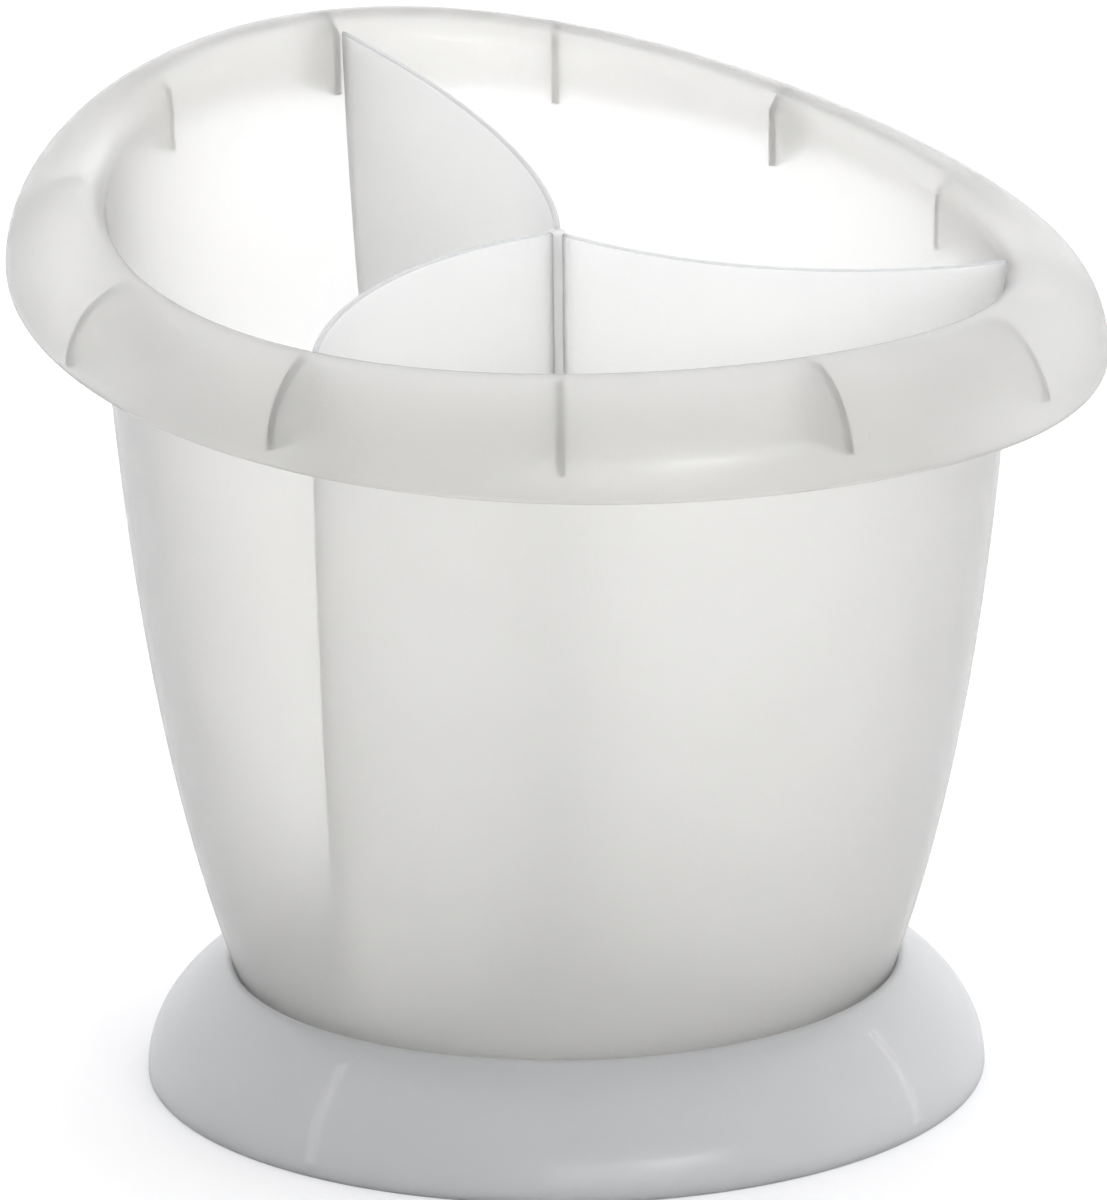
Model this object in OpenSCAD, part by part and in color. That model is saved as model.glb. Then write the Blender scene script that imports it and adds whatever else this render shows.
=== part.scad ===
// Cutlery drainer: a tapered cup with three curved compartments and a rolled, sloping rim,
// standing in the well of a flared drip base.
// Millimetres, +Z up. The origin is the centre of the base at the table.
// Angles are measured about Z from +X. The rim is highest over the angle high_side.

/* [Base] */
// Radius of the skirt's bottom edge
base_r = 64; // [62:0.5:66]
// How far the skirt's curve reaches in from the bottom edge
skirt_reach = 34.3; // [33:0.1:35]
// Height of the top of the skirt's curve
skirt_rise = 22.7; // [22:0.1:24]
// Wall thickness of the base
base_t = 1.8; // [1.4:0.1:2.2]
// Height of the well's floor, where drips collect
well_floor_h = 6; // [5:0.5:7]
// Gap between the cup and the well
well_gap = 0.4; // [0.3:0.1:0.6]
// Number of stiffening ribs under the skirt
base_rib_count = 4; // [3:1:6]
// Angle of the first rib under the skirt
base_rib_start = 54; // [0:1:89]

/* [Cup] */
// Outer radius of the cup at the neck, where it meets the skirt
neck_r = 51; // [50.5:0.1:51.5]
// Height of the neck
neck_h = 18.6; // [18:0.1:19]
// Radius of the control point that bows the cup's side
belly_r = 66.8; // [64:0.2:68]
// Height of that control point
belly_h = 64; // [58:0.5:68]
// Outer radius of the cup at the highest point of the rim
mouth_r = 68.7; // [68.2:0.1:69.5]
// Height of that point
mouth_h = 150; // [149:0.5:152]
// Wall thickness of the cup
cup_t = 1.6; // [1.2:0.1:2]
// Height of the underside of the cup's floor
cup_floor_h = 10; // [9:0.5:11]
// Thickness of the cup's floor
cup_floor_t = 2; // [1.6:0.1:2.4]

/* [Rim] */
// Height of the rim's crest on its low side
rim_low = 124; // [118:0.5:126]
// How much higher the crest is on its high side
rim_rise = 26.6; // [20:0.2:28]
// Angle of the high side
high_side = 120; // [0:1:359]
// How far the crest stands out from the cup's outer wall
lip_out = 2.4; // [2:0.1:3]
// Height of the rounded lip above the straight wall
lip_h = 4; // [3.5:0.1:5]
// Radius of the rolled rim's outer edge
flange_r = 81.6; // [80:0.2:83]
// Height of the rolled rim's bottom edge on its low side
edge_low = 107.9; // [104:0.1:110]
// How much higher the bottom edge is on the high side
edge_rise = 29.1; // [26:0.1:30]
// Number of ribs under the rolled rim
rim_rib_count = 12; // [8:1:16]
// How far down from the crest the ribs reach
rim_rib_h = 12; // [10:0.5:13]
// Thickness of the ribs
rib_t = 1.2; // [0.8:0.1:1.6]

/* [Dividers] */
// Thickness of a divider wing
wing_t = 1; // [0.8:0.1:1.4]
// How far the wings stop below the crest
wing_drop = 1.2; // [0.8:0.1:2]

/* [Drain holes] */
// Diameter of a drain hole
hole_d = 3.6; // [3:0.1:4]
// Distance between the rings of holes, and about that between holes
hole_pitch = 8; // [7:0.5:10]

/* [Hidden] */

wing_count = 3;
hub_r = 1.2;
rest_count = 6;
rest_inner_r = 12;
rest_gap = 3;
mouth_inner_r = 68.5;             // radius at which rim_low and rim_rise are measured
arc_r = ((2 * mouth_inner_r) ^ 2 + rim_rise ^ 2) / (2 * rim_rise);   // long arc that shapes the rim
top_h = rim_low + rim_rise + 20;  // safely above every solid
ring_steps = 96;
skirt_c = base_r - skirt_reach;   // radius at which the skirt's curve is centred
skin = 0.05;                      // hairline that keeps a rib off a faceted face

// Outer radius of the cup at height z: a quadratic Bezier above the neck, a cone below it.
function cup_r(z) =
    z < neck_h ? neck_r - (neck_h - z) * (belly_r - neck_r) / (belly_h - neck_h)
    : let (a = neck_h - 2 * belly_h + mouth_h, b = 2 * (belly_h - neck_h), c = neck_h - z,
           t = (sqrt(b * b - 4 * a * c) - b) / (2 * a))
      (1 - t) ^ 2 * neck_r + 2 * t * (1 - t) * belly_r + t ^ 2 * mouth_r;

// Height of the crest's long arc at distance x towards the high side.
function crest_z(x) = rim_low + arc_r - sqrt(arc_r ^ 2 - (x + mouth_inner_r) ^ 2);

// Height of the rolled rim's bottom edge at angle a from the high side.
function edge_z(a) = edge_low + edge_rise * ((1 + cos(a)) / 2) ^ 1.5;

// Outer radius of the cup just below the rim, at angle a from the high side.
function rim_r(a) = cup_r(crest_z(mouth_inner_r * cos(a)));

// Radius of the well's inner wall at height z.
function well_r(z) = cup_r(z) + well_gap;

// Points of a quarter ellipse about [r, z] from angle a0 to a1.
function ellipse(r, z, rr, zz, a0, a1, n) =
    [for (i = [0:n]) let (a = a0 + (a1 - a0) * i / n) [r + rr * cos(a), z + zz * sin(a)]];

// Half a section of the rolled rim at angle a from the high side, and its underside alone.
function rim_section(a) =
    let (r = rim_r(a), rc = r + lip_out, zc = crest_z(rc * cos(a)), ze = edge_z(a),
         zi = crest_z((r - cup_t) * cos(a)) - lip_h, zo = crest_z(r * cos(a)) - lip_h)
    concat([for (p = ellipse(rc, 0, lip_out + cup_t, 1, 180, 90, 5)) [p[0], zi + (zc - zi) * p[1]]],
           [for (i = [1:9]) let (s = 10 * i)
               [rc + (flange_r - rc) * sin(s), ze + (zc - ze) * cos(s)]],
           rim_underside(a, 0, 8),
           [for (i = [1:4]) let (s = 22.5 * i)
               [rc - lip_out * sin(s), zo + (zc - cup_t - zo) * cos(s)]]);
function rim_underside(a, off, n) =
    let (rc = rim_r(a) + lip_out, zc = crest_z(rc * cos(a)) - cup_t - off,
         ze = edge_z(a), w = flange_r - cup_t - off - rc)
    [for (i = [n:-1:0]) let (s = 90 * i / n) [rc + w * sin(s), ze + (zc - ze) * cos(s)]];

// Angle, about the cup's axis, of a wing's centre line at radius r. Each wing is a 60 degree
// arc whose radius equals the distance from the hub to the wall.
function wing_angle(end, r) = end + 60 - acos(r / (2 * mouth_inner_r));

// ---- base ----

module skirt_curve(inset) {
    polygon(concat([[0, 0]], ellipse(skirt_c, 0, skirt_reach - inset, skirt_rise - inset, 0, 90, 24),
                   [[0, skirt_rise - inset]]));
}

module inside_well_wall() {
    polygon([[0, -1], [well_r(-1) + base_t, -1], [well_r(neck_h) + base_t, neck_h],
             [well_r(neck_h) + base_t, skirt_rise + 1], [0, skirt_rise + 1]]);
}

// Flared outer skirt, open underneath. It stands on its bottom edge.
module base_skirt() {
    color("gainsboro") rotate_extrude($fn = 96) difference() {
        skirt_curve(0);
        skirt_curve(base_t);
        inside_well_wall();
    }
}

// Dish inside the skirt: a conical wall that holds the cup's foot, and a floor for the drips.
module base_well() {
    floor_under = well_floor_h - base_t;
    color("gainsboro") rotate_extrude($fn = 96) intersection() {
        skirt_curve(0);
        polygon([[0, floor_under], [well_r(floor_under) + base_t, floor_under],
                 [well_r(neck_h) + base_t, neck_h], [well_r(neck_h), neck_h],
                 [well_r(well_floor_h), well_floor_h], [0, well_floor_h]]);
    }
}

// Upright webs that tie the well to the skirt underneath.
module base_ribs() {
    rib_foot = 1;
    color("gainsboro") for (i = [0:base_rib_count - 1])
        rotate([90, 0, base_rib_start + i * 360 / base_rib_count])
            linear_extrude(rib_t, center = true) difference() {
                skirt_curve(base_t + skin);
                square([base_r, rib_foot]);
                polygon([[0, 0], [well_r(0) + base_t + skin, 0],
                         [well_r(neck_h) + base_t + skin, neck_h],
                         [well_r(neck_h) + base_t + skin, skirt_rise], [0, skirt_rise]]);
            }
}

// Low radial bars on the well's floor that hold the cup above the collected water.
module cup_rests() {
    bar_l = well_r(well_floor_h) - rest_gap - rest_inner_r;
    color("gainsboro") for (i = [0:rest_count - 1])
        rotate(30 + i * 360 / rest_count)
            translate([rest_inner_r, -rib_t / 2, well_floor_h])
                cube([bar_l, rib_t, cup_floor_h - well_floor_h]);
}

// ---- cup ----

// Everything above the crest's long arc, lowered by drop.
module above_rim(drop) {
    rotate(high_side) translate([-mouth_inner_r, 0, rim_low + arc_r - drop])
        rotate([90, 0, 0]) cylinder(r = arc_r, h = 4 * base_r, center = true, $fn = 360);
}

// Solid of the cup's outer shape, shrunk by inset, from height z0 up.
module cup_core(inset, z0) {
    steps = 16;
    rotate_extrude($fn = 96) polygon(concat([[0, z0], [cup_r(z0) - inset, z0]],
        [for (i = [0:steps]) let (z = neck_h + (mouth_h + 6 - neck_h) * i / steps)
            [cup_r(z) - inset, z]],
        [[0, mouth_h + 6]]));
}

// Bowed side wall of the cup.
module cup_wall() {
    color("whitesmoke") difference() {
        cup_core(0, cup_floor_h);
        cup_core(cup_t, cup_floor_h - 1);
        above_rim(lip_h);
    }
}

// Floor of the cup, with rings of drain holes that follow the swirl of the wings.
module cup_floor() {
    floor_r = cup_r(cup_floor_h) - cup_t;
    color("whitesmoke") difference() {
        translate([0, 0, cup_floor_h]) intersection() {
            cylinder(r = neck_r, h = cup_floor_t, $fn = 96);
            translate([0, 0, -cup_floor_h]) cup_core(cup_t, cup_floor_h - 1);
        }
        for (r = [hole_pitch:hole_pitch:floor_r - hole_pitch / 2], w = [0:wing_count - 1]) {
            n = max(1, floor(2 * PI * r / wing_count / hole_pitch));
            for (k = [0:n - 1])
                rotate(wing_angle(high_side + w * 120, r) + (k + 0.5) * 120 / n)
                    translate([r, 0, cup_floor_h - 1]) cylinder(d = hole_d, h = cup_floor_t + 2, $fn = 24);
        }
    }
}

// Rolled rim: a rounded lip that turns out and down into a skirt, hollow underneath.
module rolled_rim() {
    sections = [for (i = [0:ring_steps - 1]) rim_section(i * 360 / ring_steps)];
    n = len(sections[0]);
    points = [for (i = [0:ring_steps - 1], p = sections[i])
        let (a = high_side + i * 360 / ring_steps) [p[0] * cos(a), p[0] * sin(a), p[1]]];
    faces = [for (i = [0:ring_steps - 1], j = [0:n - 1], half = [0, 1])
        let (i1 = (i + 1) % ring_steps, j1 = (j + 1) % n)
        half == 0 ? [i * n + j, i * n + j1, i1 * n + j1] : [i * n + j, i1 * n + j1, i1 * n + j]];
    color("gainsboro") polyhedron(points, faces);
}

// Gussets between the cup's wall and the underside of the rolled rim.
module rim_ribs() {
    color("gainsboro") for (i = [0:rim_rib_count - 1]) {
        a = i * 360 / rim_rib_count;
        r = rim_r(a);
        bottom = crest_z(r * cos(a)) - rim_rib_h;
        rotate([90, 0, high_side + a]) linear_extrude(rib_t, center = true) intersection() {
            polygon(concat([[r + 0.15, edge_low]], rim_underside(a, 0.15, 8),
                           [[r + lip_out * 0.7, crest_z(r * cos(a)) - 3], [r + 0.15, crest_z(r * cos(a)) - lip_h]]));
            translate([r, bottom]) square([flange_r - r, rim_rib_h]);
        }
    }
}

// ---- dividers ----

// Slim post where the three wings meet.
module divider_hub() {
    color("white") difference() {
        translate([0, 0, cup_floor_h + cup_floor_t])
            cylinder(r = hub_r, h = top_h - cup_floor_h, $fn = 32);
        above_rim(wing_drop);
    }
}

// Upright curved wing from the hub to the wall at angle end, its top edge cut to follow the rim.
module wing(end) {
    color("white") difference() {
        intersection() {
            rotate(end + 60) translate([mouth_inner_r, 0, cup_floor_h + cup_floor_t])
                rotate(180) rotate_extrude(angle = 63, $fn = 180)
                    translate([mouth_inner_r - wing_t / 2, 0]) square([wing_t, top_h]);
            cup_core(cup_t, cup_floor_h + cup_floor_t);
        }
        cylinder(r = hub_r, h = top_h, $fn = 32);
        above_rim(wing_drop);
    }
}

module divider_wing_rear() { wing(high_side); }
module divider_wing_left() { wing(high_side + 120); }
module divider_wing_right() { wing(high_side + 240); }

base_skirt();
base_well();
base_ribs();
cup_rests();
cup_wall();
cup_floor();
rolled_rim();
rim_ribs();
divider_hub();
divider_wing_rear();
divider_wing_left();
divider_wing_right();
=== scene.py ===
import math

import bpy
import numpy as np
from mathutils import Matrix, Vector


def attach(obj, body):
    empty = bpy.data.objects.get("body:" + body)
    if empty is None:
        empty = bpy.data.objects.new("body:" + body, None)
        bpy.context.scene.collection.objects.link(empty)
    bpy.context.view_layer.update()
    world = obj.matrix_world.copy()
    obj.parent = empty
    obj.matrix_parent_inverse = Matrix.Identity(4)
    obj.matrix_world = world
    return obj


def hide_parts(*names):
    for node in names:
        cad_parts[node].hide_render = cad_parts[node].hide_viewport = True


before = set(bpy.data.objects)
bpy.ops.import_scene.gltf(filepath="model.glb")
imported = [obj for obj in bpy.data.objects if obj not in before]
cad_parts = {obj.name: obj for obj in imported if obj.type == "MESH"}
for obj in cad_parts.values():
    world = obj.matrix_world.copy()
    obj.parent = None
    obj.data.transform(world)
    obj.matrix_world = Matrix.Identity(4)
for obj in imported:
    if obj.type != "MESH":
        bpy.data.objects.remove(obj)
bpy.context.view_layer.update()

# ---------------------------------------------------------------------------------------
# Camera: a long lens at table height plus a little, looking slightly down into the cup,
# as a catalogue picture of a small kitchen article is taken.
# ---------------------------------------------------------------------------------------
camera_tilt = math.radians(15.37)        # below the horizon
camera_roll = math.radians(0.64)
camera_distance = 0.9747
camera_target = np.array([-0.0012, 0.0, 0.0726])
forward = np.array([0, math.cos(camera_tilt), -math.sin(camera_tilt)])
level_right = np.array([1.0, 0, 0])
level_up = np.array([0, math.sin(camera_tilt), math.cos(camera_tilt)])
right = level_right * math.cos(camera_roll) - level_up * math.sin(camera_roll)
up = level_right * math.sin(camera_roll) + level_up * math.cos(camera_roll)

camera_data = bpy.data.cameras.new("camera")
camera_data.lens = 194.4
camera_data.sensor_width = 36
camera_data.clip_end = 20
camera = bpy.data.objects.new("camera", camera_data)
bpy.context.collection.objects.link(camera)
pose = np.eye(4)
pose[:3, 0], pose[:3, 1], pose[:3, 2] = right, up, -forward
pose[:3, 3] = camera_target - forward * camera_distance
camera.matrix_world = Matrix(pose.tolist())
bpy.context.scene.camera = camera

# ---------------------------------------------------------------------------------------
# Frosted polypropylene, injection-moulded against fine spark-eroded steel. The eye sees a
# milky, matt skin that passes light but blurs what is behind it within a few millimetres.
# Its index is set below the plastic's real 1.49, to match how bright the thin walls look.
# ---------------------------------------------------------------------------------------


def linear(hex_colour):
    """The linear RGBA of an sRGB hex colour such as "d8d8d4"."""
    srgb = np.array([int(hex_colour[i:i + 2], 16) / 255 for i in (0, 2, 4)])
    low = srgb / 12.92
    high = ((srgb + 0.055) / 1.055) ** 2.4
    return (*np.where(srgb <= 0.04045, low, high), 1.0)


def add_node(owner, kind, links=(), **settings):
    """Adds one node to a material or world. settings are its own properties, or its inputs
    by name; links are (output socket, input name or number) pairs."""
    node = owner.node_tree.nodes.new(kind)
    for name, value in settings.items():
        if hasattr(node, name):
            setattr(node, name, value)
        else:
            node.inputs[name.replace("_", " ")].default_value = value
    for output, name in links:
        owner.node_tree.links.new(output, node.inputs[name])
    return node


def frosted_polypropylene(name, pale, deep, mark, clear=0.85, ior=1.3, dense=40.0):
    """Frosted polypropylene that clouds between two tints, with a third where a piece's
    "mark" attribute is 1. clear is the share of light that goes through by rough refraction;
    the rest is scattered inside the milky plastic. dense is its absorption per metre."""
    material = bpy.data.materials.new(name)
    material.use_nodes = True
    material.node_tree.nodes.clear()
    place = add_node(material, "ShaderNodeTexCoord")
    at = (place.outputs["Object"], "Vector")
    # Faint flow clouds, about 25 mm across.
    clouds = add_node(material, "ShaderNodeTexNoise", [at], Scale=40.0, Detail=3.0)
    tint = add_node(material, "ShaderNodeMix", [(clouds.outputs["Fac"], 0)], data_type="RGBA")
    tint.inputs[6].default_value = linear(pale)
    tint.inputs[7].default_value = linear(deep)
    # The third tint is painted: shade on the rolled rim and the wings' top edges, light along the
    # base's sink marks.
    marked = add_node(material, "ShaderNodeAttribute", attribute_name="mark")
    colour = add_node(material, "ShaderNodeMix",
                      [(marked.outputs["Fac"], 0), (tint.outputs[2], 6)], data_type="RGBA")
    colour.inputs[7].default_value = linear(mark)
    # Spark-eroded grain, drawn at 0.4 mm, coarser than real spark-eroded skin, so that it shows.
    grain = add_node(material, "ShaderNodeTexNoise", [at], Scale=2500.0, Detail=3.0)
    bump = add_node(material, "ShaderNodeBump", [(grain.outputs["Fac"], "Height")],
                    Strength=0.15, Distance=0.0002)
    # The clouds also make the skin a little more and less matt.
    matt, uneven = 0.45, 0.06
    dull = add_node(material, "ShaderNodeMapRange", [(clouds.outputs["Fac"], "Value")],
                    To_Min=matt - uneven, To_Max=matt + uneven)
    skin = add_node(material, "ShaderNodeBsdfPrincipled",
                    [(colour.outputs[2], "Base Color"), (dull.outputs["Result"], "Roughness"),
                     (bump.outputs["Normal"], "Normal")], IOR=ior,
                    Transmission_Weight=clear, Subsurface_Weight=1.0,
                    Subsurface_Radius=(1.0, 1.0, 1.0), Subsurface_Scale=0.01,
                    Coat_Weight=0.35, Coat_Roughness=0.2)
    body = add_node(material, "ShaderNodeVolumeAbsorption",
                    Color=(0.55, 0.5, 0.42, 1.0), Density=dense)
    add_node(material, "ShaderNodeOutputMaterial",
             [(skin.outputs[0], "Surface"), (body.outputs[0], "Volume")])
    return material


# ---------------------------------------------------------------------------------------
# Cup: one injection moulding, a bowed tapering wall that turns out at the top into a rolled
# rim, hollow underneath. Its crest and bottom edge rise towards one side on long arcs.
# Sizes are in millimetres.
# ---------------------------------------------------------------------------------------
MM = 0.001
neck_r, neck_h = 51.0, 18.6
belly_r, belly_h = 66.8, 64.0
mouth_r, mouth_h = 68.7, 150.0
cup_t = 1.6
cup_floor_h, cup_floor_t = 10.0, 2.0
rim_low, rim_rise = 124.0, 26.6
high_side = math.radians(120)
lip_out, lip_h = 2.4, 4.0
flange_r = 81.6
edge_low, edge_rise = 107.9, 29.1
crest_r = 68.5              # radius at which the crest's low point and rise are measured
foot_round = 0.5            # at the cup's bottom edge
cup_turns = 240             # points round the cup
arc_r = ((2 * crest_r) ** 2 + rim_rise ** 2) / (2 * rim_rise)


def cup_radius(z):
    """Outer radius of the cup at height z: a quadratic Bezier from the neck over the belly
    to the mouth, and below the neck a cone on with the same slope."""
    a = neck_h - 2 * belly_h + mouth_h
    b = 2 * (belly_h - neck_h)
    t = (np.sqrt(np.maximum(b * b - 4 * a * (neck_h - z), 0)) - b) / (2 * a)
    bowed = (1 - t) ** 2 * neck_r + 2 * t * (1 - t) * belly_r + t ** 2 * mouth_r
    cone = neck_r - (neck_h - z) * (belly_r - neck_r) / (belly_h - neck_h)
    return np.where(z < neck_h, cone, bowed)


def crest_height(x):
    """Height of the rim's long arc at distance x towards the high side."""
    return rim_low + arc_r - np.sqrt(arc_r ** 2 - (x + crest_r) ** 2)


def edge_height(turn):
    """Height of the rolled rim's bottom edge at the angle turn from the high side."""
    return edge_low + edge_rise * ((1 + np.cos(turn)) / 2) ** 1.5


def rim_radius(turn):
    """Outer radius of the cup just below its rim, at the angle turn from the high side."""
    return cup_radius(crest_height(crest_r * np.cos(turn)))


def add_piece(name, points, faces, material, body, smooth=True):
    """Adds a mesh from points in millimetres, gives it its finish and lets it ride."""
    mesh = bpy.data.meshes.new(name)
    mesh.from_pydata((np.asarray(points) * MM).tolist(), [], [list(map(int, f)) for f in faces])
    mesh.polygons.foreach_set("use_smooth", np.full(len(mesh.polygons), smooth))
    mesh.materials.append(material)
    mesh.update()
    piece = bpy.data.objects.new(name, mesh)
    bpy.context.collection.objects.link(piece)
    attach(piece, body)
    return piece


def grid_faces(rows, columns, wrap_rows=True, wrap_columns=True):
    """Quads of a rows by columns grid of points, joined end to end where it wraps."""
    i = np.arange(rows if wrap_rows else rows - 1)[:, None]
    j = np.arange(columns if wrap_columns else columns - 1)[None, :]
    i1, j1 = (i + 1) % rows, (j + 1) % columns
    corners = [i * columns + j, i1 * columns + j, i1 * columns + j1, i * columns + j1]
    return np.stack([c.ravel() for c in np.broadcast_arrays(*corners)], axis=-1)


def add_mark(piece, values):
    """Gives a piece its "mark" attribute, one value for each point."""
    mark = piece.data.attributes.new("mark", "FLOAT", "POINT")
    mark.data.foreach_set("value", values)


def refinish(node, material):
    """Gives a CAD node that keeps its own mesh a better material."""
    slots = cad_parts[node].data.materials
    slots.clear()
    slots.append(material)


def cup_sections(turn):
    """Closed sections of cup wall and rolled rim, one row for each angle turn from the high
    side: up the inside, over the lip's quarter ellipse to the crest, down the rim's outer
    quarter ellipse, round its edge, back under it, and down the outside to the foot."""
    turn = np.asarray(turn)[:, None]
    c = np.cos(turn)
    r = rim_radius(turn)
    rc = r + lip_out
    zc = crest_height(rc * c)
    inside = crest_height((r - cup_t) * c) - lip_h
    outside = crest_height(r * c) - lip_h
    edge = edge_height(turn) + cup_t / 2
    ones = np.ones_like(turn)
    parts = []
    z = cup_floor_h + (inside - cup_floor_h) * np.linspace(0, 1, 48)[None, :-1]
    parts.append((cup_radius(z) - cup_t, z))
    q = np.linspace(0, np.pi / 2, 14)[None, :-1]
    parts.append((rc - (lip_out + cup_t) * np.cos(q), inside + (zc - inside) * np.sin(q)))
    q = np.linspace(0, np.pi / 2, 28)[None, :-1]
    parts.append((rc + (flange_r - rc) * np.sin(q), edge + (zc - edge) * np.cos(q)))
    q = np.linspace(0, np.pi, 10)[None, :-1]
    parts.append(((flange_r - cup_t / 2 + cup_t / 2 * np.cos(q)) * ones,
                  edge - cup_t / 2 * np.sin(q)))
    q = np.linspace(np.pi / 2, 0, 22)[None, :-1]
    parts.append((rc + (flange_r - cup_t - rc) * np.sin(q), edge + (zc - cup_t - edge) * np.cos(q)))
    q = np.linspace(0, np.pi / 2, 10)[None, :-1]
    parts.append((rc - lip_out * np.sin(q), outside + (zc - cup_t - outside) * np.cos(q)))
    foot_h = cup_floor_h + foot_round
    z = outside + (foot_h - outside) * np.linspace(0, 1, 48)[None, :-1]
    parts.append((cup_radius(z), z))
    q = np.linspace(0, np.pi / 2, 5)[None, :]
    foot_r = cup_radius(np.array(foot_h))
    parts.append(((foot_r - foot_round + foot_round * np.cos(q)) * ones,
                  foot_h - foot_round * np.sin(q) * ones))
    radius, height = (np.concatenate(
        [np.broadcast_to(part[i], (len(turn), part[i].shape[1])) for part in parts], axis=1)
        for i in (0, 1))
    return radius, height


# The third tint, e8e8e6, is painted shade on the rolled rim.
cup_plastic = frosted_polypropylene("frosted_polypropylene_cup",
                                    "ffffff", "fcfcf9", "e8e8e6", dense=45.0)
# The floor plate is thicker than the wall, and made milkier, to brighten the cup's foot.
floor_plastic = frosted_polypropylene("frosted_polypropylene_floor_plate",
                                      "ffffff", "fdfdfb", "ffffff", clear=0.25)
turns = np.linspace(0, 2 * np.pi, cup_turns, endpoint=False)
radius, height = cup_sections(turns)
angle = (turns + high_side)[:, None]
points = np.stack([radius * np.cos(angle), radius * np.sin(angle), height], axis=-1)
cup_shell = add_piece("cup_shell", points.reshape(-1, 3), grid_faces(*radius.shape)[:, ::-1],
                      cup_plastic, "cup")
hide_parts("cup_wall", "rolled_rim")
# The rolled rim is tinted a shade greyer than the wall, painted shade for the look through its
# two skins. These are points of the section: in the lip, at the crest, under the edge, and where
# the underside comes back to the lip.
lip_row, crest_row, edge_row, throat_row = 50, 60, 97, 117
row = np.arange(radius.shape[1])
rim_painted_shade = np.interp(row, [lip_row, crest_row, edge_row, throat_row], [0.0, 1.0, 1.0, 0.0])
add_mark(cup_shell, np.tile(rim_painted_shade, len(turns)))
refinish("cup_floor", floor_plastic)

# ---------------------------------------------------------------------------------------
# Dividers: three upright wings of the same moulding, thin arcs that swirl from the middle to
# the wall. Their top edges follow the rim a little below its crest.
# ---------------------------------------------------------------------------------------
wing_t = 1.0
wing_drop = 1.2             # below the rim's arc
wing_sink = 0.15            # into the wall
floor_sink = 0.4            # into the floor plate
mid_height = 80.0
wing_rows = 44              # points up each skin
cap_rows = 7                # points over the half-round top
wing_start = 0.015          # share of its length at which a wing begins, inside the hub
below_top = 0.996           # share of its height at which the last short row begins
# The third tint, a9abac, is painted shade along each wing's top edge.
divider_plastic = frosted_polypropylene("frosted_polypropylene_dividers",
                                        "ffffff", "fdfdfa", "a9abac",
                                        clear=0.32, ior=1.2, dense=10.0)


def wing_points(end):
    """Both skins of a wing. Along it runs an arc of radius crest_r, about 60 degrees long, from
    the hub; at each height it stops at the wall. Its section is a strip with a half-round top,
    and a last short row below that keeps the top's shading off the skins."""
    along = np.linspace(wing_start, 1, 40)[:, None]
    v = np.append(np.linspace(0, below_top, wing_rows - 1), 1.0)
    q = np.linspace(0, np.pi, cap_rows + 2)[1:-1]
    level, skin = np.zeros(wing_rows), np.full(wing_rows, 1.0)
    lift = np.concatenate([v, np.ones(cap_rows), v[::-1]])[None, :]
    side = np.concatenate([skin, np.cos(q), -skin])[None, :]
    cap = np.concatenate([level, np.sin(q), level])[None, :]
    floor = cup_floor_h + cup_floor_t - floor_sink
    start = end + np.pi / 3
    # Height and reach depend on each other, so they are worked out four times over, from a
    # first guess at mid-height.
    z = np.full((along.shape[0], lift.shape[1]), mid_height)
    for _ in range(4):
        reach = cup_radius(z) - cup_t + wing_sink
        sweep = along * 2 * np.arcsin(np.clip(reach / (2 * crest_r), 0, 1))
        middle_x = crest_r * (np.cos(start) - np.cos(start + sweep))
        middle_y = crest_r * (np.sin(start) - np.sin(start + sweep))
        uphill = middle_x * np.cos(high_side) + middle_y * np.sin(high_side)
        top = crest_height(uphill) - wing_drop
        z = floor + (top - wing_t / 2 - floor) * lift
    offset = side * wing_t / 2
    x = middle_x - offset * np.cos(start + sweep)
    y = middle_y - offset * np.sin(start + sweep)
    return np.stack([x, y, z + cap * wing_t / 2], axis=-1)


wing_ends = {"divider_wing_rear": 120, "divider_wing_left": 240, "divider_wing_right": 0}
for name, end in wing_ends.items():
    points = wing_points(math.radians(end))
    n, m = points.shape[:2]
    faces = grid_faces(n, m, wrap_rows=False).tolist()
    # Each end is closed by a ladder of quads between the two skins, because it isn't flat.
    k = np.arange(m // 2 - 1)
    ladder = np.stack([k, k + 1, m - 2 - k, m - 1 - k], axis=-1)
    tip = [m // 2 - 1, m // 2, m // 2 + 1]
    ends = ladder.tolist() + [tip]
    faces += ends + [[(n - 1) * m + corner for corner in face[::-1]] for face in ends]
    wing = add_piece(name + "_moulded", points.reshape(-1, 3), faces,
                     divider_plastic, "cup")
    # The free top edge is tinted as a thin darker line, painted shade; the end faces are
    # flat-shaded.
    top = np.zeros(m)
    top[wing_rows:wing_rows + cap_rows] = 1.0
    add_mark(wing, np.tile(top, n))
    wing.data.polygons.foreach_set("use_smooth", np.arange(len(faces)) < len(faces) - 2 * len(ends))
    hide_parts(name)
refinish("divider_hub", divider_plastic)

# ---------------------------------------------------------------------------------------
# Ribs under the rolled rim: twelve gussets of the cup's moulding, one every 30 degrees,
# between the wall and the underside of the rim. They show through it as soft grey lines.
# ---------------------------------------------------------------------------------------
rib_t = 1.2
rim_rib_h = 12.0
rib_count = 12
rib_sink = 0.25             # into the wall and the rim


def rib_outline(turn):
    """Outline of one gusset in its own plane, as radius and height: the rim's underside
    ellipse, sunk into the plastic, down to a level foot, and back up the wall."""
    r = float(rim_radius(turn))
    rc = r + lip_out
    zc = float(crest_height(rc * np.cos(turn))) - cup_t
    edge = float(edge_height(turn)) + cup_t / 2
    foot = float(crest_height(r * np.cos(turn))) - rim_rib_h
    w = flange_r - cup_t - rc
    lowest = np.arccos(np.clip((foot - edge) / (zc - edge), 0, 1))
    q = np.linspace(0, lowest, 14)
    curve = np.stack([rc + (w + rib_sink) * np.sin(q),
                      edge + (zc + rib_sink - edge) * np.cos(q)], axis=-1)
    return np.concatenate([[[r - rib_sink, zc - 2.0]], curve, [[r - rib_sink, foot]]])


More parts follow.
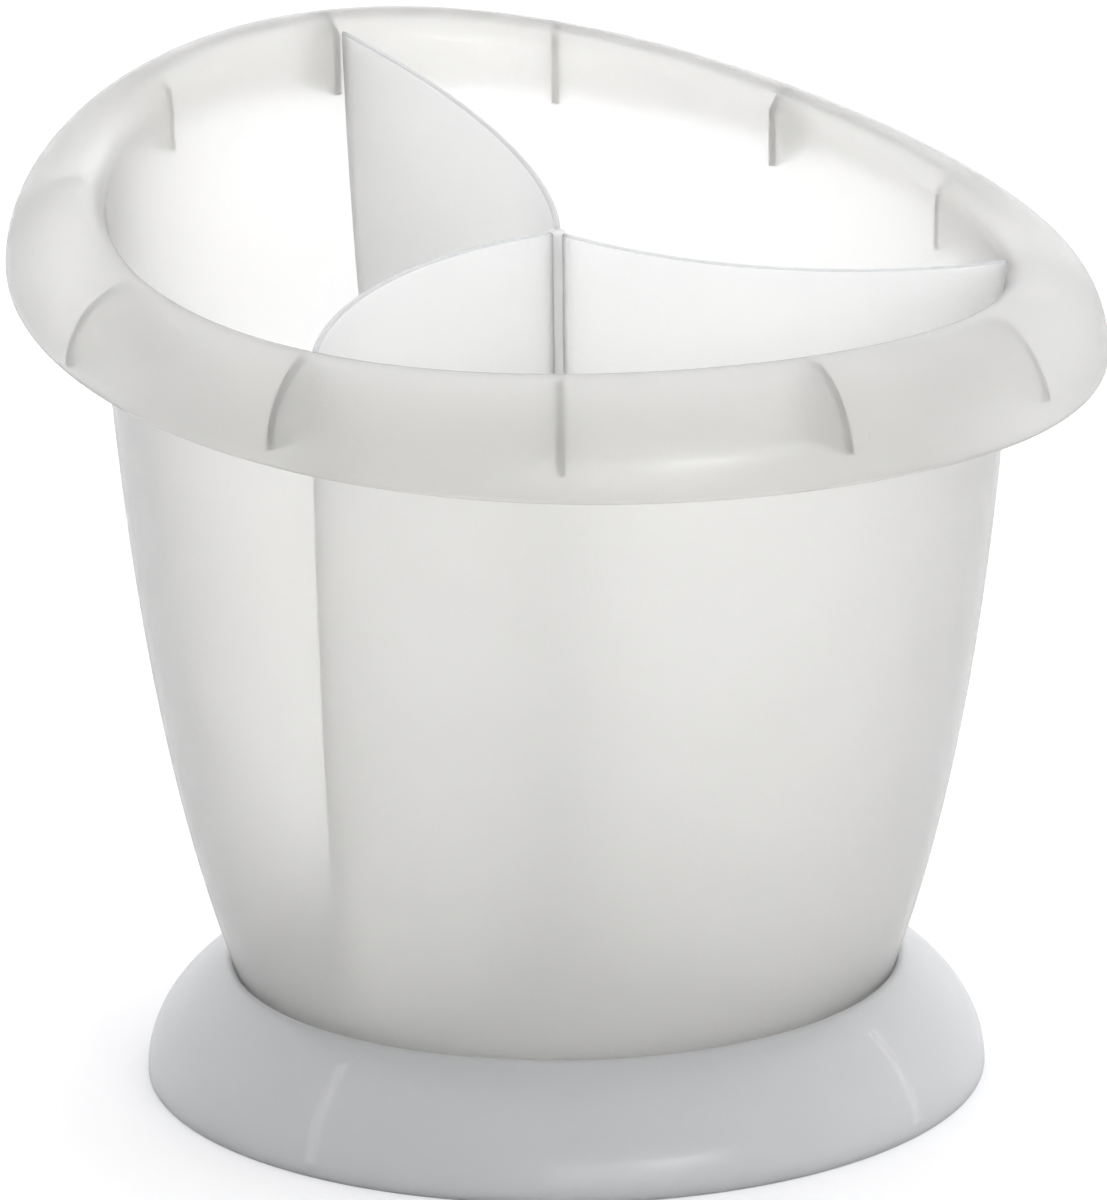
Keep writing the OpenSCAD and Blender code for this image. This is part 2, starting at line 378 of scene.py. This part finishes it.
for degrees in range(0, 360, 360 // rib_count):
    turn = math.radians(degrees)
    outline = rib_outline(turn)
    n = len(outline)
    a = high_side + turn
    radial = np.array([math.cos(a), math.sin(a), 0])
    across = np.array([-math.sin(a), math.cos(a), 0])
    flat = outline[:, :1] * radial + outline[:, 1:] * np.array([0, 0, 1.0])
    points = np.concatenate([flat - across * rib_t / 2, flat + across * rib_t / 2])
    faces = [list(range(n))[::-1], list(range(n, 2 * n))]
    faces += [[j, (j + 1) % n, n + (j + 1) % n, n + j] for j in range(n)]
    rib = add_piece(f"rim_rib_{degrees:03d}", points, faces,
                    cup_plastic, "cup", smooth=False)
    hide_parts("rim_ribs")

# ---------------------------------------------------------------------------------------
# Drip base: the second moulding. A flared skirt carries a shallow well; the cup's foot
# drops into the well and stands on low bars above the drips. Four ribs stiffen the skirt.
# ---------------------------------------------------------------------------------------
base_r = 64.0
skirt_reach, skirt_rise = 34.3, 22.7
base_t = 1.8
well_floor_h = 6.0
well_gap = 0.4
well_fillet = 1.5
brim_z, brim_round = 17.2, 0.7
skirt_foot = 0.4            # rounding of the skirt's bottom edge
base_turns = 600            # points round the base, 0.67 mm apart at its edge
skirt_c = base_r - skirt_reach
first_rib = 54.0            # degrees round to the first of the four ribs
# The skirt's grey tint, darker than the cup's, is painted shade.
painted_shade_base_plastic = frosted_polypropylene("frosted_polypropylene_base",
                                     "dcdee0", "d5d7d9", "ffffff", clear=0.35, ior=1.25)
# The ribs and bars inside are made paler and milkier than the skirt, whose grey is painted shade.
rib_plastic = frosted_polypropylene("frosted_polypropylene_base_inside",
                                    "ffffff", "fcfcfc", "ffffff", clear=0.2)


def base_section():
    """Closed section of the base from pole to pole: well floor, well wall, rounded brim,
    the skirt's outer quarter ellipse, its foot, its inner ellipse, and back under the well."""

    def wall(z):
        """Radius of the well's inner face at height z: the cup's, plus the gap."""
        return cup_radius(z) + well_gap

    brim_r = float(wall(np.array(brim_z)))
    start = np.arcsin((brim_r + brim_round - skirt_c) / skirt_reach)
    parts = [np.stack([np.linspace(0, 44, 12), np.full(12, well_floor_h)], -1)]
    q = np.linspace(0, np.pi / 2, 7)
    wr = float(wall(np.array(well_floor_h + well_fillet)))
    parts.append(np.stack([wr - well_fillet + well_fillet * np.sin(q),
                           well_floor_h + well_fillet - well_fillet * np.cos(q)], -1))
    z = np.linspace(well_floor_h + 1.8, brim_z - brim_round, 12)
    parts.append(np.stack([wall(z), z], -1))
    top = skirt_rise * np.cos(start)
    q = np.linspace(0.2, 1, 6)[:-1]
    r0, z0 = float(wall(np.array(brim_z - brim_round))), brim_z - brim_round
    r1, z1 = skirt_c + skirt_reach * np.sin(start), top
    cx, cz = r0 + 0.05, top + 0.15
    parts.append(np.stack([(1 - q) ** 2 * r0 + 2 * q * (1 - q) * cx + q ** 2 * r1,
                           (1 - q) ** 2 * z0 + 2 * q * (1 - q) * cz + q ** 2 * z1], -1))
    q = np.linspace(start, np.pi / 2, 30)
    parts.append(np.stack([skirt_c + skirt_reach * np.sin(q),
                           skirt_foot + (skirt_rise - skirt_foot) * np.cos(q)], -1))
    q = np.linspace(0, np.pi / 2, 5)[1:]
    parts.append(np.stack([base_r - skirt_foot + skirt_foot * np.cos(q),
                           skirt_foot - skirt_foot * np.sin(q)], -1))
    parts.append(np.array([[base_r - base_t + 0.3, 0.0], [base_r - base_t, 0.3]]))
    inner = np.arcsin((float(wall(np.array(15.0))) + base_t - skirt_c) / (skirt_reach - base_t))
    q = np.linspace(np.pi / 2, inner, 26)[1:]
    parts.append(np.stack([skirt_c + (skirt_reach - base_t) * np.sin(q),
                           (skirt_rise - base_t) * np.cos(q)], -1))
    z = np.linspace(13.5, well_floor_h - base_t + 0.5, 10)
    parts.append(np.stack([wall(z) + base_t, z], -1))
    parts.append(np.stack([np.linspace(47, 0, 12), np.full(12, well_floor_h - base_t)], -1))
    return np.concatenate(parts)


section = base_section()
turns = np.linspace(0, 2 * np.pi, base_turns, endpoint=False)
ring = section[1:-1]
# Where the four inner ribs meet the skirt, a shallow sink mark runs down; its paler tint is painted
# light.
sink_depth, sink_half_width = 0.12, 0.8
nearest = (turns - math.radians(first_rib) + np.pi / 4) % (np.pi / 2) - np.pi / 4
sink = np.exp(-(nearest * base_r / sink_half_width) ** 2)[:, None]
row = np.arange(len(ring))
mark_from, mark_to = 40, 62     # points of the section, down the skirt's outer face
on_skirt = ((row > mark_from) & (row < mark_to))[None, :] * 1.0
ring_r = ring[None, :, 0] - sink_depth * sink * on_skirt
points = np.stack([ring_r * np.cos(turns)[:, None], ring_r * np.sin(turns)[:, None],
                   np.broadcast_to(ring[None, :, 1], ring_r.shape)], axis=-1).reshape(-1, 3)
n, m = len(turns), len(ring)
faces = grid_faces(n, m, wrap_columns=False)[:, ::-1].tolist()
poles = [[0, 0, section[0, 1]], [0, 0, section[-1, 1]]]
points = np.concatenate([points, poles])
faces += [[i * m, (i + 1) % n * m, n * m] for i in range(n)]
faces += [[i * m + m - 1, n * m + 1, (i + 1) % n * m + m - 1] for i in range(n)]
base_shell = add_piece("base_shell", points, faces, painted_shade_base_plastic, "drip_base")
add_mark(base_shell, np.append((sink * on_skirt).ravel(), [0.0, 0.0]))
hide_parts("base_skirt", "base_well")
refinish("base_ribs", rib_plastic)
refinish("cup_rests", rib_plastic)

# ---------------------------------------------------------------------------------------
# Studio: a white floor under a sky that is brightest above and behind, so that the plastic is
# lit mostly from the back. A strip softbox and a square fill light stand in front.
# ---------------------------------------------------------------------------------------
floor_mesh = bpy.data.meshes.new("floor")
half = 6.0                  # metres, half the board's side
corners = [(-half, -half, 0), (half, -half, 0), (half, half, 0), (-half, half, 0)]
floor_mesh.from_pydata(corners, [], [(0, 1, 2, 3)])
floor_paint = bpy.data.materials.new("white_painted_board")
floor_paint.use_nodes = True
paint = floor_paint.node_tree.nodes["Principled BSDF"]
paint.inputs["Base Color"].default_value = linear("f4f4f4")
paint.inputs["Roughness"].default_value = 0.8
floor_mesh.materials.append(floor_paint)
floor = bpy.data.objects.new("floor", floor_mesh)
bpy.context.collection.objects.link(floor)

world = bpy.data.worlds.new("studio")
world.use_nodes = True
sky = add_node(world, "ShaderNodeTexCoord")
brightest = (0.2, 0.7, 0.6)
facing = add_node(world, "ShaderNodeVectorMath", [(sky.outputs["Generated"], 0)],
                  operation="DOT_PRODUCT")
facing.inputs[1].default_value = brightest
glow = add_node(world, "ShaderNodeMapRange", [(facing.outputs["Value"], "Value")],
                From_Min=-0.6, From_Max=1.0, To_Min=0.4, To_Max=1.85)
backdrop = world.node_tree.nodes["Background"]
world.node_tree.links.new(glow.outputs["Result"], backdrop.inputs["Strength"])
backdrop.inputs["Color"].default_value = linear("fdfdff")
bpy.context.scene.world = world
bpy.context.scene.view_settings.view_transform = "Standard"


object_middle = np.array([0, 0, 0.08])


def softbox(name, place, width, height, power):
    """A rectangular area light at place that faces the object's middle."""
    data = bpy.data.lights.new(name, "AREA")
    data.shape = "RECTANGLE"
    data.size, data.size_y = width, height
    data.energy = power
    lamp = bpy.data.objects.new(name, data)
    bpy.context.collection.objects.link(lamp)
    aim = object_middle - np.array(place)
    lamp.location = place
    lamp.rotation_euler = Vector(aim).to_track_quat("-Z", "Y").to_euler()


softbox("strip_softbox", (0.7, -1.2, 0.4), width=0.5, height=0.15, power=3.0)
softbox("front_fill", (0.3, -1.5, 0.1), width=1.0, height=1.0, power=9.5)
